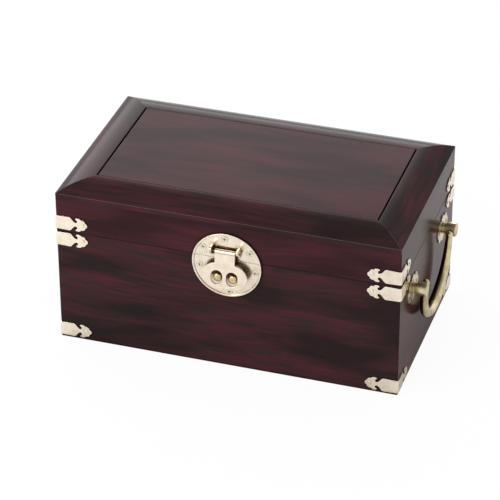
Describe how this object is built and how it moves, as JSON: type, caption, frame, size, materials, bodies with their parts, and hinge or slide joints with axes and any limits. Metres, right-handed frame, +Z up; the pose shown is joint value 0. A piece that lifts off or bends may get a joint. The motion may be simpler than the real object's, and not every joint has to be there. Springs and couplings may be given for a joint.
{
  "type": "jewellery box",
  "caption": "Lidded wooden jewellery casket with brass corner straps, a round hasp lock plate, swinging end handles, a mirrored lid on a stay and a lift-out divided tray.",
  "frame": {"origin": "centre of the underside of the case", "axes": "+X towards the right end, +Y towards the hinged back, +Z up out of the lid"},
  "size_m": [0.3262, 0.1931, 0.15],
  "materials": {
    "case_wood": "dark stained wood under a glossy lacquer",
    "lid_wood": "dark stained wood under a glossy lacquer",
    "top_wood": "dark stained wood under a glossy lacquer",
    "inner_wood": "dark stained wood, satin",
    "tray_wood": "dark stained wood, satin",
    "velvet": "wine red velvet over card",
    "ring_velvet": "wine red velvet over padding",
    "mirror_glass": "silvered glass",
    "strap_brass": "pale polished brass, lightly tarnished",
    "lock_brass": "pale polished brass, lightly tarnished",
    "nail_brass": "polished brass, darkened round the edge",
    "handle_brass": "antique brass, dark in the hollows",
    "hinge_brass": "satin brass"
  },
  "bodies": {
    "case": {"case_front": "case_wood", "case_back": "case_wood", "case_left": "case_wood", "case_right": "case_wood", "case_bottom": "inner_wood", "case_floor_pad": "velvet", "case_lining_front": "velvet", "case_lining_back": "velvet", "case_lining_left": "velvet", "case_lining_right": "velvet", "tray_rest_front": "inner_wood", "tray_rest_back": "inner_wood", "base_corner_straps": "strap_brass", "case_corner_straps": "strap_brass", "case_strap_nails": "nail_brass", "lock_plate_lower": "lock_brass", "lock_plate_lower_screws": "nail_brass", "lock_posts": "lock_brass", "handle_backplates": "handle_brass", "handle_backplate_nails": "nail_brass", "handle_posts": "handle_brass", "hinge_case_leaves": "hinge_brass", "hinge_case_screws": "hinge_brass", "hinge_pins": "hinge_brass", "stay_pin": "hinge_brass"},
    "lid": {"lid_front": "lid_wood", "lid_back": "lid_wood", "lid_left": "lid_wood", "lid_right": "lid_wood", "lid_rail_front": "top_wood", "lid_rail_back": "top_wood", "lid_rail_left": "top_wood", "lid_rail_right": "top_wood", "lid_panel": "top_wood", "mirror_backing": "inner_wood", "lid_mirror": "mirror_glass", "mirror_bead_front": "inner_wood", "mirror_bead_back": "inner_wood", "mirror_bead_left": "inner_wood", "mirror_bead_right": "inner_wood", "lid_corner_straps": "strap_brass", "lid_strap_nails": "nail_brass", "lock_plate_upper": "lock_brass", "lock_plate_upper_screws": "nail_brass", "hasp_pin": "lock_brass", "hinge_lid_leaves": "hinge_brass", "hinge_lid_screws": "hinge_brass", "stay_rivet": "hinge_brass"},
    "hasp": {"hasp": "lock_brass"},
    "handle_left": {"bail_left": "handle_brass"},
    "handle_right": {"bail_right": "handle_brass"},
    "tray": {"tray_front": "tray_wood", "tray_back": "tray_wood", "tray_left": "tray_wood", "tray_right": "tray_wood", "tray_bottom": "tray_wood", "tray_dividers": "tray_wood", "tray_pads": "velvet", "ring_rolls": "ring_velvet"},
    "lid_stay": {"lid_stay": "hinge_brass"}
  },
  "joints": [
    {"name": "lid_hinge", "type": "hinge", "parent": "case", "child": "lid", "pos_m": [0, 0.09165, 0.107], "axis": [-1, 0, 0], "range_deg": [0, 100]},
    {"name": "hasp_hinge", "type": "hinge", "parent": "lid", "child": "hasp", "pos_m": [0.0013, -0.0932, 0.1154], "axis": [-1, 0, 0], "range_deg": [-12, 150]},
    {"name": "handle_right_swing", "type": "hinge", "parent": "case", "child": "handle_right", "pos_m": [0.159, 0, 0.0834], "axis": [0, -1, 0], "range_deg": [-1, 160]},
    {"name": "handle_left_swing", "type": "hinge", "parent": "case", "child": "handle_left", "pos_m": [-0.159, 0, 0.0834], "axis": [0, 1, 0], "range_deg": [-1, 160]},
    {"name": "tray_lift", "type": "slide", "parent": "case", "child": "tray", "axis": [0, 0, 1], "range_m": [0, 0.022]},
    {"name": "stay_pivot", "type": "hinge", "parent": "lid", "child": "lid_stay", "pos_m": [0.138, 0.04936, 0.12239], "axis": [-1, 0, 0], "range_deg": [-50, 0]}
  ],
  "couplings": [
    {"joint": "stay_pivot", "follows": "lid_hinge", "ratio": -0.5}
  ]
}
